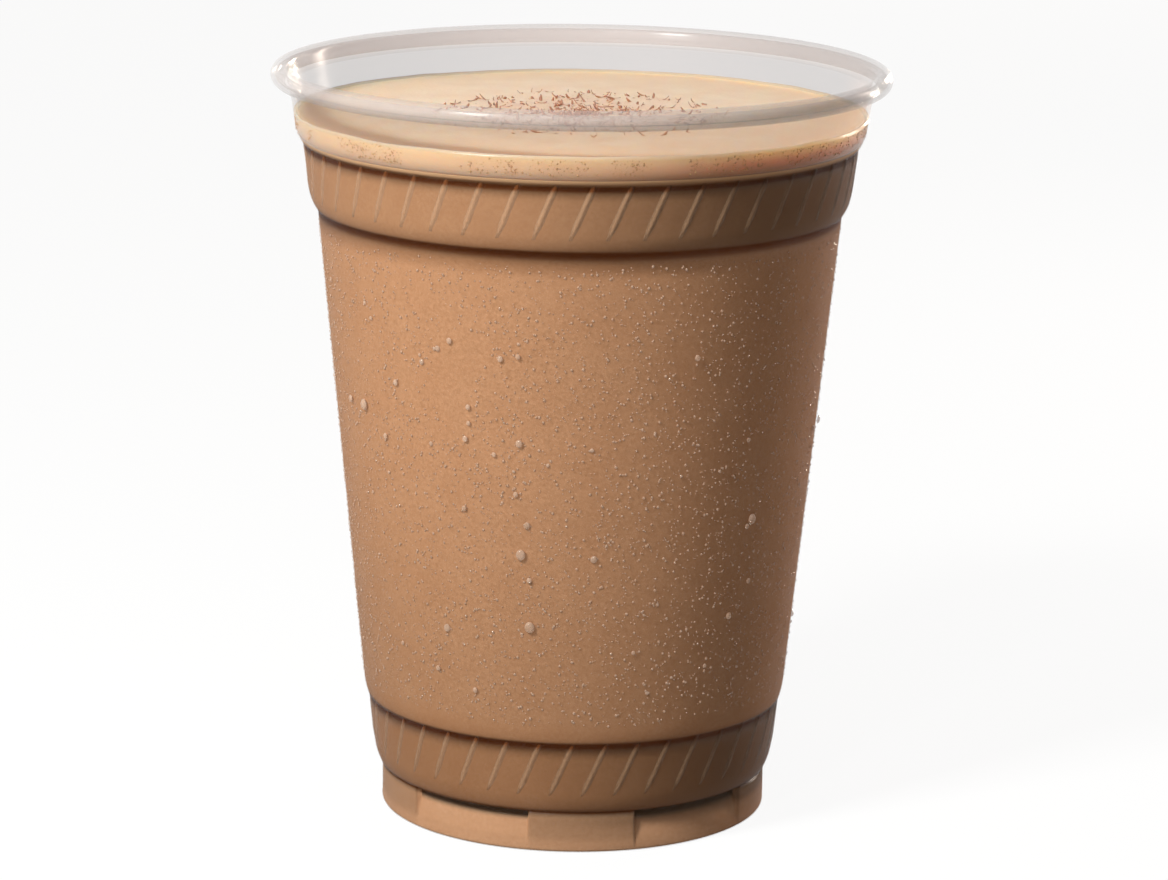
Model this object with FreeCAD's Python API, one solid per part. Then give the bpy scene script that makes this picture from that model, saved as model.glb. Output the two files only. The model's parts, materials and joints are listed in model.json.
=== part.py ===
"""Chocolate smoothie in its clear disposable cup: cup, smoothie and the froth on top.

Millimetres, +Z up. The origin is the centre of the ring that the cup stands on.
Azimuths are counted from the front (-Y), positive towards +X.
"""
import FreeCAD, Part
import math
import os

from FreeCAD import Vector

# ---- overall sizes -------------------------------------------------------------
CUP_HEIGHT = 116.4  # table to the top of the rolled rim
RIM_DIAMETER = 95.0  # over the rolled rim
BASE_DIAMETER = 60.2  # over the stacking foot
WALL = 0.7  # the moulded sheet, walls and floor alike

# ---- heights of the five stretches of the wall, from the table up ----------------
FOOT_HEIGHT = 5.7
LOWER_BAND_HEIGHT = 11.6
UPPER_BAND_HEIGHT = 10.5
HEAD_HEIGHT = 11.6  # plain stretch from the upper band to the top of the rim
FLARE_HEIGHT = 5.4  # the top of the head, where the sheet leans out to the rim

# ---- how far each stretch stands out over the top of the one below it -----------
LOWER_BAND_STEP = 0.87
MAIN_WALL_STEP = 0.5
UPPER_BAND_STEP = 1.0
HEAD_STEP = 0.92
LEDGE = 0.22  # flat left under each stretch, inside its rounded bottom edge

# ---- how far up its wall each rounded bottom edge starts --------------------------
LOWER_BAND_ROUND = 3.9
MAIN_WALL_ROUND = 2.5
UPPER_BAND_ROUND = 2.8
HEAD_ROUND = 2.6

BAND_DRAFT = 0.115  # radius gained for each millimetre of height
HEAD_DRAFT = 0.13

# ---- rolled rim ------------------------------------------------------------------
BEAD_DIAMETER = 3.0
MOUTH_FLARE = 0.23  # the wall below the flare stands this far inside the bead
LIP_ANGLE = 240.0  # where the roll ends under the bead: 0 is outwards, 90 is up

# ---- slanting ribs on the two bands -------------------------------------------------
UPPER_RIB_COUNT = 48
LOWER_RIB_COUNT = 40
UPPER_RIB_AZIMUTH = 0.8  # middle of one rib
LOWER_RIB_AZIMUTH = -2.7
RIB_SLANT = 22.0  # lean of a rib from the upright, its top towards +X at the front
RIB_WIDTH = 1.1
RIB_CREST_WIDTH = 0.45
RIB_HEIGHT = 0.38
RIB_ROOT = 0.45  # how deep a rib is let into the wall
RIB_END_SLOPE = 0.5  # the crest stops this far short of the rib's two ends
RIB_TOP_MARGIN = 0.9  # plain band left above the ribs
UPPER_RIB_FOOT_MARGIN = 1.6  # plain band left below them
LOWER_RIB_FOOT_MARGIN = 1.1

# ---- stacking foot ----------------------------------------------------------------
LUG_COUNT = 5
LUG_ANGLE = 32.0
LUG_AZIMUTH = 3.0  # middle of the front lug
RECESS_DEPTH = 1.3  # how far the panels between lugs lie back under the lower band
FOOT_ROUND = 0.5  # bottom edge of the foot
FOOT_RING = 1.3  # width of the ring that the cup stands on
FLOOR_RISE = 0.8  # table to the underside of the floor at its edge
FLOOR_DOME = 0.5  # further rise of the floor at its middle
FLOOR_BEVEL = 0.6  # slope where the floor meets the foot, above and below

# ---- the drink ---------------------------------------------------------------------
FILL_CLEARANCE = 0.15  # between the drink and the plastic
FROTH_DEPTH = 3.15  # froth above the step in the wall, at its middle
MENISCUS_RISE = 0.6  # how far the froth climbs the wall
MENISCUS_WIDTH = 2.2

# ---- worked out from the sizes above -------------------------------------------------
FOOT_RADIUS = BASE_DIAMETER / 2
BEAD_RADIUS = BEAD_DIAMETER / 2
BEAD_CENTRE_R = RIM_DIAMETER / 2 - BEAD_RADIUS
BEAD_CENTRE_Z = CUP_HEIGHT - BEAD_RADIUS
MOUTH_RADIUS = BEAD_CENTRE_R - BEAD_RADIUS - MOUTH_FLARE

BAND2_Z = FOOT_HEIGHT  # bottom of the lower band
MAIN_Z = BAND2_Z + LOWER_BAND_HEIGHT
HEAD_Z = CUP_HEIGHT - HEAD_HEIGHT
BAND1_Z = HEAD_Z - UPPER_BAND_HEIGHT  # bottom of the upper band
FLARE_Z = CUP_HEIGHT - FLARE_HEIGHT

BAND2_FOOT_R = FOOT_RADIUS + LOWER_BAND_STEP
BAND2_TOP_R = BAND2_FOOT_R + BAND_DRAFT * LOWER_BAND_HEIGHT
MAIN_FOOT_R = BAND2_TOP_R + MAIN_WALL_STEP
HEAD_FOOT_R = MOUTH_RADIUS - HEAD_DRAFT * (FLARE_Z - HEAD_Z)
BAND1_TOP_R = HEAD_FOOT_R - HEAD_STEP
BAND1_FOOT_R = BAND1_TOP_R - BAND_DRAFT * UPPER_BAND_HEIGHT
MAIN_TOP_R = BAND1_FOOT_R - UPPER_BAND_STEP

# The smoothie ends where the inside of the wall steps out under the head.
FROTH_Z = HEAD_Z + WALL + FILL_CLEARANCE
FILL_LEVEL = FROTH_Z + FROTH_DEPTH

AXIS = Vector(0, 0, 1)
ORIGIN = Vector(0, 0, 0)


def at(radius, height):
    """A point of an outline, in the plane that is turned about the cup's axis."""
    return Vector(radius, 0, height)


def polar(radius, azimuth, height):
    """A point of the cup from its radius, its azimuth in degrees and its height."""
    turn = math.radians(azimuth)
    return Vector(radius * math.sin(turn), -radius * math.cos(turn), height)


def tangent_arc(start, heading, end):
    """The arc that leaves start along heading and ends at end."""
    chord = end - start
    heading = heading / heading.Length
    normal = chord - heading * chord.dot(heading)
    radius = chord.dot(chord) / (2 * chord.dot(normal) / normal.Length)
    centre = start + normal / normal.Length * radius
    middle = (start + end) / 2 - centre
    return Part.Arc(start, centre + middle / middle.Length * radius, end).toShape()


def line(start, end):
    return Part.LineSegment(start, end).toShape()


def turned(edges):
    """The solid that a closed outline sweeps round the cup's axis."""
    return Part.Face(Part.Wire(edges)).revolve(ORIGIN, AXIS, 360)


def stretches():
    """Each stretch above the foot: its bottom height and radius, its top height and
    radius, the height at which its bottom edge starts to round, and the radius of what
    it stands on."""
    return [
        (BAND2_Z, BAND2_FOOT_R, MAIN_Z, BAND2_TOP_R, LOWER_BAND_ROUND, FOOT_RADIUS),
        (MAIN_Z, MAIN_FOOT_R, BAND1_Z, MAIN_TOP_R, MAIN_WALL_ROUND, BAND2_TOP_R),
        (BAND1_Z, BAND1_FOOT_R, HEAD_Z, BAND1_TOP_R, UPPER_BAND_ROUND, MAIN_TOP_R),
        (HEAD_Z, HEAD_FOOT_R, FLARE_Z, MOUTH_RADIUS, HEAD_ROUND, BAND1_TOP_R),
    ]


def upper_body(inset):
    """The solid shape of the cup from the lower band to the flare, drawn in and up by
    inset: 0 is the outside, one wall the inside, and a little more the drink."""
    shift = at(-inset, inset)
    edges = [line(at(0, BAND2_Z + inset), at(FOOT_RADIUS - inset, BAND2_Z + inset))]
    for foot_z, foot_r, top_z, top_r, rounding, below_r in stretches():
        crease = at(below_r, foot_z) + shift
        ledge = crease + at(LEDGE, 0)
        top = at(top_r, top_z) + shift
        foot = at(foot_r, foot_z) + shift
        down = foot - top
        start = foot - down / down.Length * rounding
        edges += [line(crease, ledge), tangent_arc(start, down, ledge), line(start, top)]
    edges += [line(top, at(0, top.z)), line(at(0, top.z), at(0, BAND2_Z + inset))]
    return turned(edges)


def foot_block(inset, top_radius):
    """A turned block of the foot that is top_radius wide under the lower band. The
    outside stands on a rounded edge, the inside on the floor, with a sloped corner."""
    corner = FLOOR_BEVEL if inset else FOOT_ROUND
    bottom_z = FLOOR_RISE + inset if inset else 0
    side_z = bottom_z + corner
    taper = (FOOT_RADIUS - top_radius) / (FOOT_HEIGHT - FOOT_ROUND)
    side_foot = at(FOOT_RADIUS - taper * (side_z - FOOT_ROUND) - inset, side_z)
    side_top = at(top_radius - inset, FOOT_HEIGHT + inset)
    floor_edge = at(side_foot.x - corner, bottom_z)
    middle = at(0, bottom_z + (FLOOR_DOME if inset else 0))
    edge = line(floor_edge, side_foot) if inset else tangent_arc(side_foot, at(0, -1), floor_edge)
    return turned(
        [
            line(middle, floor_edge),
            edge,
            line(side_foot, side_top),
            line(side_top, at(0, side_top.z)),
            line(at(0, side_top.z), middle),
        ]
    )


def lug_sectors(inset):
    """Wedges that keep the foot's stacking lugs, narrowed by inset on both sides."""
    angle = LUG_ANGLE - 2 * math.degrees(inset / FOOT_RADIUS)
    sectors = []
    for number in range(LUG_COUNT):
        azimuth = LUG_AZIMUTH + number * 360 / LUG_COUNT
        sector = Part.makeCylinder(RIM_DIAMETER, CUP_HEIGHT, ORIGIN, AXIS, angle)
        sector.rotate(ORIGIN, AXIS, azimuth - 90 - angle / 2)
        sectors.append(sector)
    return sectors


def body(inset):
    """The whole shape below the flare, with its foot, drawn in by inset."""
    recessed = foot_block(inset, FOOT_RADIUS - RECESS_DEPTH)
    full = foot_block(inset, FOOT_RADIUS)
    lugs = [full.common(sector) for sector in lug_sectors(inset)]
    return upper_body(inset).multiFuse([recessed] + lugs)


def underside():
    """The hollow under the floor, inside the ring that the cup stands on."""
    ring_r = FOOT_RADIUS - FOOT_RING
    top_r = ring_r - BAND_DRAFT * FLOOR_RISE
    corner = at(top_r - FLOOR_BEVEL, FLOOR_RISE)
    side_top = at(top_r, FLOOR_RISE - FLOOR_BEVEL)
    return turned(
        [
            line(at(0, 0), at(ring_r, 0)),
            line(at(ring_r, 0), side_top),
            line(side_top, corner),
            line(corner, at(0, FLOOR_RISE + FLOOR_DOME)),
            line(at(0, FLOOR_RISE + FLOOR_DOME), at(0, 0)),
        ]
    )


def on_bead(radius, angle):
    """A point at an angle round the bead, 0 outwards and 90 up."""
    turn = math.radians(angle)
    return at(BEAD_CENTRE_R + radius * math.cos(turn), BEAD_CENTRE_Z + radius * math.sin(turn))


def tangent_angle(point, radius):
    """The angle round the bead at which a line from point touches its inner side."""
    to_point = point - at(BEAD_CENTRE_R, BEAD_CENTRE_Z)
    direction = math.degrees(math.atan2(to_point.z, to_point.x)) % 360
    return direction - math.degrees(math.acos(radius / to_point.Length))


def rolled_rim():
    """The sheet from the flare up, over and under, ending in a free lip."""
    hollow_r = BEAD_RADIUS - WALL
    inner = at(MOUTH_RADIUS - WALL, FLARE_Z)
    outer = at(MOUTH_RADIUS, FLARE_Z)
    inner_touch = tangent_angle(inner, BEAD_RADIUS)
    outer_touch = tangent_angle(outer, hollow_r)
    lip = LIP_ANGLE - 360
    skin = Part.Arc(
        on_bead(BEAD_RADIUS, inner_touch),
        on_bead(BEAD_RADIUS, (inner_touch + lip) / 2),
        on_bead(BEAD_RADIUS, lip),
    )
    lining = Part.Arc(
        on_bead(hollow_r, lip),
        on_bead(hollow_r, (outer_touch + lip) / 2),
        on_bead(hollow_r, outer_touch),
    )
    return turned(
        [
            line(inner, on_bead(BEAD_RADIUS, inner_touch)),
            skin.toShape(),
            line(on_bead(BEAD_RADIUS, lip), on_bead(hollow_r, lip)),
            lining.toShape(),
            line(on_bead(hollow_r, outer_touch), outer),
            line(outer, inner),
        ]
    )


def ribs(count, azimuth, foot_margin, foot_z, top_z, top_r):
    """A ring of slanting bars let into a band, each narrower at its crest."""
    half_z = (top_z - foot_z - RIB_TOP_MARGIN - foot_margin) / 2
    middle_z = foot_z + foot_margin + half_z
    middle_r = top_r - BAND_DRAFT * (top_z - middle_z)
    half_turn = math.degrees(half_z * math.tan(math.radians(RIB_SLANT)) / middle_r)
    low = polar(middle_r - BAND_DRAFT * half_z, azimuth - half_turn, middle_z - half_z)
    high = polar(middle_r + BAND_DRAFT * half_z, azimuth + half_turn, middle_z + half_z)
    length = (high - low).Length
    along = (high - low).normalize()
    radial = polar(1, azimuth, 0)
    outward = (radial - along * radial.dot(along)).normalize()
    across = outward.cross(along)
    crest = (RIB_WIDTH - RIB_CREST_WIDTH) / 2
    bar = Part.makeWedge(
        0, -RIB_ROOT, 0, RIB_END_SLOPE, crest,
        RIB_WIDTH, RIB_HEIGHT, length, length - RIB_END_SLOPE, RIB_WIDTH - crest,
    )
    bar.translate(Vector(-RIB_WIDTH / 2, 0, -length / 2))
    turn = FreeCAD.Matrix(
        across.x, outward.x, along.x, 0,
        across.y, outward.y, along.y, 0,
        across.z, outward.z, along.z, 0,
        0, 0, 0, 1,
    )
    bar.Placement = FreeCAD.Placement(turn).multiply(bar.Placement)
    bar.translate(polar(middle_r, azimuth, middle_z))
    ring = []
    for number in range(count):
        copy = bar.copy()
        copy.rotate(ORIGIN, AXIS, number * 360 / count)
        ring.append(copy)
    return ring


def make_cup():
    shell = body(0).cut(body(WALL)).cut(underside())
    upper_band = (UPPER_RIB_FOOT_MARGIN, BAND1_Z, HEAD_Z, BAND1_TOP_R)
    lower_band = (LOWER_RIB_FOOT_MARGIN, BAND2_Z, MAIN_Z, BAND2_TOP_R)
    upper = ribs(UPPER_RIB_COUNT, UPPER_RIB_AZIMUTH, *upper_band)
    lower = ribs(LOWER_RIB_COUNT, LOWER_RIB_AZIMUTH, *lower_band)
    return shell.multiFuse([rolled_rim()] + upper + lower).removeSplitter()


def make_smoothie(fill):
    return fill.common(Part.makeCylinder(RIM_DIAMETER, FROTH_Z))


def make_froth(fill):
    """The lighter head on the drink, from the step in the wall to the level, with its
    edge drawn up the wall."""
    inside_r = HEAD_FOOT_R + HEAD_DRAFT * (FILL_LEVEL - HEAD_Z) - WALL - FILL_CLEARANCE
    flat_r = inside_r - MENISCUS_WIDTH
    edge = at(inside_r, FILL_LEVEL + MENISCUS_RISE)
    outside = at(RIM_DIAMETER, FILL_LEVEL + MENISCUS_RISE)
    head = turned(
        [
            line(at(0, FROTH_Z), at(RIM_DIAMETER, FROTH_Z)),
            line(at(RIM_DIAMETER, FROTH_Z), outside),
            line(outside, edge),
            tangent_arc(at(flat_r, FILL_LEVEL), at(1, 0), edge),
            line(at(flat_r, FILL_LEVEL), at(0, FILL_LEVEL)),
            line(at(0, FILL_LEVEL), at(0, FROTH_Z)),
        ]
    )
    return fill.common(head)


def as_solid(shape):
    """The one solid of a shape, out of any compound that holds it."""
    if len(shape.Solids) != 1:
        raise ValueError(f"expected one solid, found {len(shape.Solids)}")
    return shape.Solids[0]


def main():
    os.makedirs("parts", exist_ok=True)
    fill = body(WALL + FILL_CLEARANCE)
    nodes = {"cup": make_cup(), "smoothie": make_smoothie(fill), "froth": make_froth(fill)}
    for name, shape in nodes.items():
        solid = as_solid(shape)
        solid.exportStep(f"parts/{name}.step")
        box = solid.optimalBoundingBox()
        print(
            f"{name}: {solid.Volume / 1000:.2f} ml, {len(solid.Faces)} faces, "
            f"z {box.ZMin:.2f} to {box.ZMax:.2f}, valid {solid.isValid()}"
        )


main()
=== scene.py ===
# %% [markdown]
# # A chocolate smoothie in a takeaway cup
#
# This notebook dresses a plain CAD model of a filled plastic cup until it looks like the
# real thing. The real one is a milky polypropylene cup, moulded with two ribbed bands and
# a stacking foot, cold enough to be misted with condensation. It holds a chocolate
# smoothie with a paler head of froth and a pinch of chocolate flakes.
#
# Everything is in metres, in the frame of the CAD model: +Z is up, the cup stands on
# z = 0 and its front faces -Y. Sizes are written in millimetres and multiplied by MM.

# %% Load the CAD frame
import json
import math

import bpy
import numpy as np
from mathutils import Matrix, Vector, noise

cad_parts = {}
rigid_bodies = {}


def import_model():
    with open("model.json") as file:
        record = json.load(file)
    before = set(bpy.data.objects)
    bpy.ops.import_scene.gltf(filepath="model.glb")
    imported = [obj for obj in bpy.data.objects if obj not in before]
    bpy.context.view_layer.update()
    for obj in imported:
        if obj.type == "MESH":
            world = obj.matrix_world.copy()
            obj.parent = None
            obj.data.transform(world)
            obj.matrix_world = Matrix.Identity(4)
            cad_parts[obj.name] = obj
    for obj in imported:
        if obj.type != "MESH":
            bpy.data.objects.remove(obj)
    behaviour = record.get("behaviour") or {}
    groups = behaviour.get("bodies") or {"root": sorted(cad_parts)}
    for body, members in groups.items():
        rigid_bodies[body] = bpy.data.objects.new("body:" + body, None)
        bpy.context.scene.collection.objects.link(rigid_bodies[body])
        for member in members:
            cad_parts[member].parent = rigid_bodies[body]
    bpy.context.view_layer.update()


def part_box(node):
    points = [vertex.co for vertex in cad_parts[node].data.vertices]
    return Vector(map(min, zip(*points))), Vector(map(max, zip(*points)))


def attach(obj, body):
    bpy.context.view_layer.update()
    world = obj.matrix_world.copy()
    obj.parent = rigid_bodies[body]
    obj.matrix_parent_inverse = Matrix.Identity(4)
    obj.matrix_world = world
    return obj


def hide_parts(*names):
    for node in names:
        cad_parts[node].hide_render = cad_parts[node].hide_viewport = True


MM = 0.001

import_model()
_, cup_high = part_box("cup")
froth_low, froth_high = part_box("froth")
RIM_RADIUS = cup_high.x / MM
CUP_HEIGHT = cup_high.z / MM
print("cup", round(2 * RIM_RADIUS, 1), "mm wide,", round(CUP_HEIGHT, 1), "mm high")

# %% [markdown]
# ## Small helpers
#
# Three jobs come back again and again: turning lists of points and faces into a mesh
# object, finding a node's socket, and joining nodes. They get short helpers here, so
# that the cells below read as recipes.


# %% Helpers for meshes
def add_mesh(name, points, faces, smooth=True):
    """A mesh object from points in millimetres."""
    mesh = bpy.data.meshes.new(name)
    mesh.from_pydata((np.asarray(points, dtype=float) * MM).tolist(), [], faces)
    mesh.polygons.foreach_set("use_smooth", [smooth] * len(mesh.polygons))
    mesh.validate()
    piece = bpy.data.objects.new(name, mesh)
    bpy.context.scene.collection.objects.link(piece)
    return piece


def dress(piece, material=None, replaces=()):
    """Gives a finished piece its material, hangs it on the root body and hides the CAD parts that it
    replaces.
    """
    if material:
        piece.data.materials.clear()
        piece.data.materials.append(material)
    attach(piece, "root")
    if replaces:
        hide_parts(*replaces)
    print(piece.name, len(piece.data.polygons), "faces")


# %% Helpers for node trees
def join(tree, source, target):
    """Links two sockets. A node stands for its first output."""
    tree.links.new(source.outputs[0] if hasattr(source, "outputs") else source, target)


def add_node(tree, kind, inputs=None, **settings):
    """A node with its settings. An input takes a plain value, a socket or a node."""
    node = tree.nodes.new(kind)
    for key, value in settings.items():
        setattr(node, key, value)
    for key, value in (inputs or {}).items():
        if hasattr(value, "outputs") or hasattr(value, "is_output"):
            join(tree, value, node.inputs[key])
        else:
            node.inputs[key].default_value = value
    return node


def math_node(tree, operation, *values):
    """A Math node. Each value is a number, a socket or a node."""
    return add_node(tree, "ShaderNodeMath", dict(enumerate(values)), operation=operation)


def times(tree, first, second):
    """Two numbers, sockets or nodes, multiplied."""
    return math_node(tree, "MULTIPLY", first, second)


# %% Helpers for Geometry Nodes
def new_tree(name, **inputs):
    """An empty Geometry Nodes tree with named inputs. Returns it with its two end nodes."""
    tree = bpy.data.node_groups.new(name, "GeometryNodeTree")
    tree.interface.new_socket(name="Geometry", in_out="OUTPUT", socket_type="NodeSocketGeometry")
    for title, kind in inputs.items():
        tree.interface.new_socket(name=title, in_out="INPUT", socket_type="NodeSocket" + kind)
    return tree, tree.nodes.new("NodeGroupInput").outputs, tree.nodes.new("NodeGroupOutput")


def random_value(tree, low, high, seed):
    """A random number for each point. Low, high and seed are numbers or sockets."""
    picker = add_node(tree, "FunctionNodeRandomValue", {2: low, 3: high, 8: seed}, data_type="FLOAT")
    return picker.outputs[1]


def finish_tree(tree, end, instances, material):
    """Every tree ends alike: real meshes instead of instances, and their material."""
    real = add_node(tree, "GeometryNodeRealizeInstances", {"Geometry": instances})
    painted = add_node(tree, "GeometryNodeSetMaterial", {"Geometry": real, "Material": material})
    join(tree, painted, end.inputs[0])


def grow(name, tree, **sizes):
    """Runs a tree with the given inputs and keeps the result as a plain mesh object."""
    piece = bpy.data.objects.new(name, bpy.data.meshes.new(name))
    bpy.context.scene.collection.objects.link(piece)
    modifier = piece.modifiers.new("grow", "NODES")
    modifier.node_group = tree
    for item in tree.interface.items_tree:
        if item.in_out == "INPUT":
            modifier[item.identifier] = sizes[item.name]
    view = bpy.context.evaluated_depsgraph_get()
    view.update()
    mesh = bpy.data.meshes.new_from_object(piece.evaluated_get(view), depsgraph=view)
    piece.modifiers.remove(modifier)
    piece.data = mesh
    mesh.name = name
    print(name, len(mesh.polygons), "faces")
    return piece


def put_away(*forms):
    """Deletes the forms that a tree has copied."""
    for form in forms:
        bpy.data.objects.remove(form)


# %% [markdown]
# ## The camera
#
# A product like this is shot from a little above, with a long lens so that the cup
# hardly tapers. The camera stands in front of the cup, looks down about thirteen
# degrees, and is turned slightly about its line of sight, so that the cup leans a hair
# to the right.

# %% Camera
LENS = 141.8  # millimetres, as is the sensor
SENSOR = 36
NEAREST = 50 * MM  # what is closer than this isn't drawn
CAMERA_PLACE = Vector((1.1, -697.8, 217.3)) * MM
CAMERA_PITCH = 0.2250  # radians down
CAMERA_ROLL = 0.0137  # radians

camera_data = bpy.data.cameras.new("camera")
camera_data.lens = LENS
camera_data.sensor_width = SENSOR
camera_data.clip_start = NEAREST
camera = bpy.data.objects.new("camera", camera_data)
camera.location = CAMERA_PLACE
look = Matrix.Rotation(math.pi / 2 - CAMERA_PITCH, 4, "X")
camera.rotation_euler = (look @ Matrix.Rotation(CAMERA_ROLL, 4, "Z")).to_euler()
bpy.context.scene.collection.objects.link(camera)
bpy.context.scene.camera = camera
bpy.context.scene.view_settings.view_transform = "Standard"

# %% [markdown]
# ## Floor, backdrop and light
#
# The cup stands on a white floor in a white room. Light Path decides who sees that
# white: the camera, reflections and the rays that pass through the plastic do, while the
# light that falls on the cup comes from lamps and a weak even fill. The camera sees the
# floor as mostly its own white and partly as the lamps light it, so that the cup keeps a
# soft shadow.

# %% Who sees the white room
WHITE = (1.0, 1.0, 1.0, 1.0)


def sees_room(tree):
    """1 for camera, glossy and transmission rays, else 0."""
    path = add_node(tree, "ShaderNodeLightPath")
    mirrored = math_node(tree, "MAXIMUM", path.outputs["Is Camera Ray"], path.outputs["Is Glossy Ray"])
    return math_node(tree, "MAXIMUM", mirrored, path.outputs["Is Transmission Ray"])


def mix_shaders(tree, share, first, second):
    """The first shader where share is 0, the second where it is 1."""
    return add_node(tree, "ShaderNodeMixShader", {0: share, 1: first, 2: second})


# %% The room
FILL = 0.185  # strength of the light that comes from all round
FILL_COLOUR = (1.0, 0.93, 0.86, 1.0)

world = bpy.data.worlds.new("studio")
world.use_nodes = True
bpy.context.scene.world = world
room = world.node_tree
room_fill = room.nodes["Background"]
room_fill.inputs["Color"].default_value = FILL_COLOUR
room_fill.inputs["Strength"].default_value = FILL
room_white = add_node(room, "ShaderNodeBackground", {"Color": WHITE, "Strength": 1.0})
room_mix = mix_shaders(room, sees_room(room), room_fill, room_white)
join(room, room_mix, room.nodes["World Output"].inputs["Surface"])

# %% The floor
HALF_FLOOR = 1500.0
FLOOR_GREY = (0.35, 0.35, 0.35, 1.0)  # what the floor throws back onto the cup
FLOOR_LIT = (0.95, 0.95, 0.95, 1.0)  # what the camera sees of the floor in lamplight
FLOOR_OWN_WHITE = 0.92  # how much of the floor that is seen is plain white

floor_corners = [(HALF_FLOOR * x, HALF_FLOOR * y, 0) for x, y in ((-1, -1), (1, -1), (1, 1), (-1, 1))]
floor = add_mesh("floor", floor_corners, [(0, 1, 2, 3)], smooth=False)
floor_paint = bpy.data.materials.new("white_floor")
floor_paint.use_nodes = True
tree = floor_paint.node_tree
grey = tree.nodes["Principled BSDF"]
grey.inputs["Base Color"].default_value = FLOOR_GREY
grey.inputs["Roughness"].default_value = 0.9
grey.inputs["Specular IOR Level"].default_value = 0.0
lit = add_node(tree, "ShaderNodeBsdfDiffuse", {"Color": FLOOR_LIT})
glow = add_node(tree, "ShaderNodeEmission", {"Color": WHITE, "Strength": 1.0})
shown = mix_shaders(tree, FLOOR_OWN_WHITE, lit, glow)
floor_mix = mix_shaders(tree, sees_room(tree), grey, shown)
join(tree, floor_mix, tree.nodes["Material Output"].inputs["Surface"])
floor.data.materials.append(floor_paint)


# %% [markdown]
# ## Lamps
#
# A lamp at the left front, near, above the rim and rather small, models the round form:
# the wall is brightest at the left, darkens towards the right and fades a little towards
# the foot, and every ledge throws a crisp shadow. Two tall narrow lamps stand behind on
# the right. The near one gives the soft streak that runs down the dark side, and the far
# one, which stands beyond the floor, warms the very edge. A small lamp in front gives the
# wet sparkle on rim and drops.


# %% Lamps
def add_lamp(name, azimuth, elevation, distance, width, height, watts, colour):
    """A rectangular lamp that looks at the cup. Azimuth 0 is the front, 90 the right."""
    turn, rise = math.radians(azimuth), math.radians(elevation)
    away = Vector((math.sin(turn) * math.cos(rise), -math.cos(turn) * math.cos(rise), math.sin(rise)))
    data = bpy.data.lights.new(name, "AREA")
    data.shape = "RECTANGLE"
    data.size, data.size_y = width, height
    data.energy = watts
    data.color = colour
    lamp = bpy.data.objects.new(name, data)
    lamp.location = Vector((0, 0, CUP_HEIGHT / 2 * MM)) + away * distance
    lamp.rotation_euler = (-away).to_track_quat("-Z", "Y").to_euler()
    bpy.context.scene.collection.objects.link(lamp)


# name, azimuth and elevation in degrees, distance, width and height in metres, watts, colour
LAMPS = (
    ("key", -43, 40, 0.62, 0.12, 0.12, 4.9, (0.955, 0.98, 0.955)),
    ("streak", 134, 8, 0.60, 0.025, 0.42, 2.2, (1.0, 0.86, 0.74)),
    ("edge", 163, 3, 1.75, 0.10, 0.50, 11.0, (1.0, 0.84, 0.66)),
    ("sparkle", -15, 44, 0.70, 0.045, 0.03, 0.5, (1.0, 1.0, 1.0)),
)
for lamp in LAMPS:
    add_lamp(*lamp)

# %% [markdown]
# ## The outline of the cup
#
# The cup is moulded: every stretch of its wall is a cone that ends in a rounded edge and
# tucks in over the stretch below. One function walks up that outline. Drawn in and up by
# a distance it gives the inside of the sheet, and a little less gives the drink, which
# is why the drink fits the wall at every step.

# %% Sizes of the cup, in millimetres
FOOT_RADIUS = 30.1
WALL = 0.7
FOOT_HEIGHT = 6.5
LOWER_BAND_TOP = 17.8
UPPER_BAND_FOOT = 94.5
SHOULDER = 104.8
FLARE = 111.0
BAND_DRAFT = 0.115  # how much the radius grows for each millimetre of height
HEAD_DRAFT = 0.13
LEDGE = 0.22
BEAD_RADIUS = 1.5
MOUTH_FLARE = 0.23
LIP_ANGLE = -120.0
# how far the foot of each stretch stands out from the top of the one below it
LOWER_BAND_STEP, MAIN_STEP, UPPER_BAND_STEP, HEAD_STEP = 0.87, 0.5, 1.0, 0.92

BEAD_CENTRE = np.array((RIM_RADIUS - BEAD_RADIUS, CUP_HEIGHT - BEAD_RADIUS))
MOUTH_RADIUS = BEAD_CENTRE[0] - BEAD_RADIUS - MOUTH_FLARE
LOWER_BAND_FOOT_RADIUS = FOOT_RADIUS + LOWER_BAND_STEP
LOWER_BAND_TOP_RADIUS = LOWER_BAND_FOOT_RADIUS + BAND_DRAFT * (LOWER_BAND_TOP - FOOT_HEIGHT)
MAIN_FOOT_RADIUS = LOWER_BAND_TOP_RADIUS + MAIN_STEP
HEAD_FOOT_RADIUS = MOUTH_RADIUS - HEAD_DRAFT * (FLARE - SHOULDER)
UPPER_BAND_TOP_RADIUS = HEAD_FOOT_RADIUS - HEAD_STEP
UPPER_BAND_FOOT_RADIUS = UPPER_BAND_TOP_RADIUS - BAND_DRAFT * (SHOULDER - UPPER_BAND_FOOT)
MAIN_TOP_RADIUS = UPPER_BAND_FOOT_RADIUS - UPPER_BAND_STEP

# bottom height and radius, top height and radius, height of the rounded edge, radius below
STRETCHES = (
    (FOOT_HEIGHT, LOWER_BAND_FOOT_RADIUS, LOWER_BAND_TOP, LOWER_BAND_TOP_RADIUS, 3.1, FOOT_RADIUS),
    (LOWER_BAND_TOP, MAIN_FOOT_RADIUS, UPPER_BAND_FOOT, MAIN_TOP_RADIUS, 2.5, LOWER_BAND_TOP_RADIUS),
    (UPPER_BAND_FOOT, UPPER_BAND_FOOT_RADIUS, SHOULDER, UPPER_BAND_TOP_RADIUS, 2.8, MAIN_TOP_RADIUS),
    (SHOULDER, HEAD_FOOT_RADIUS, FLARE, MOUTH_RADIUS, 2.6, UPPER_BAND_TOP_RADIUS),
)


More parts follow.
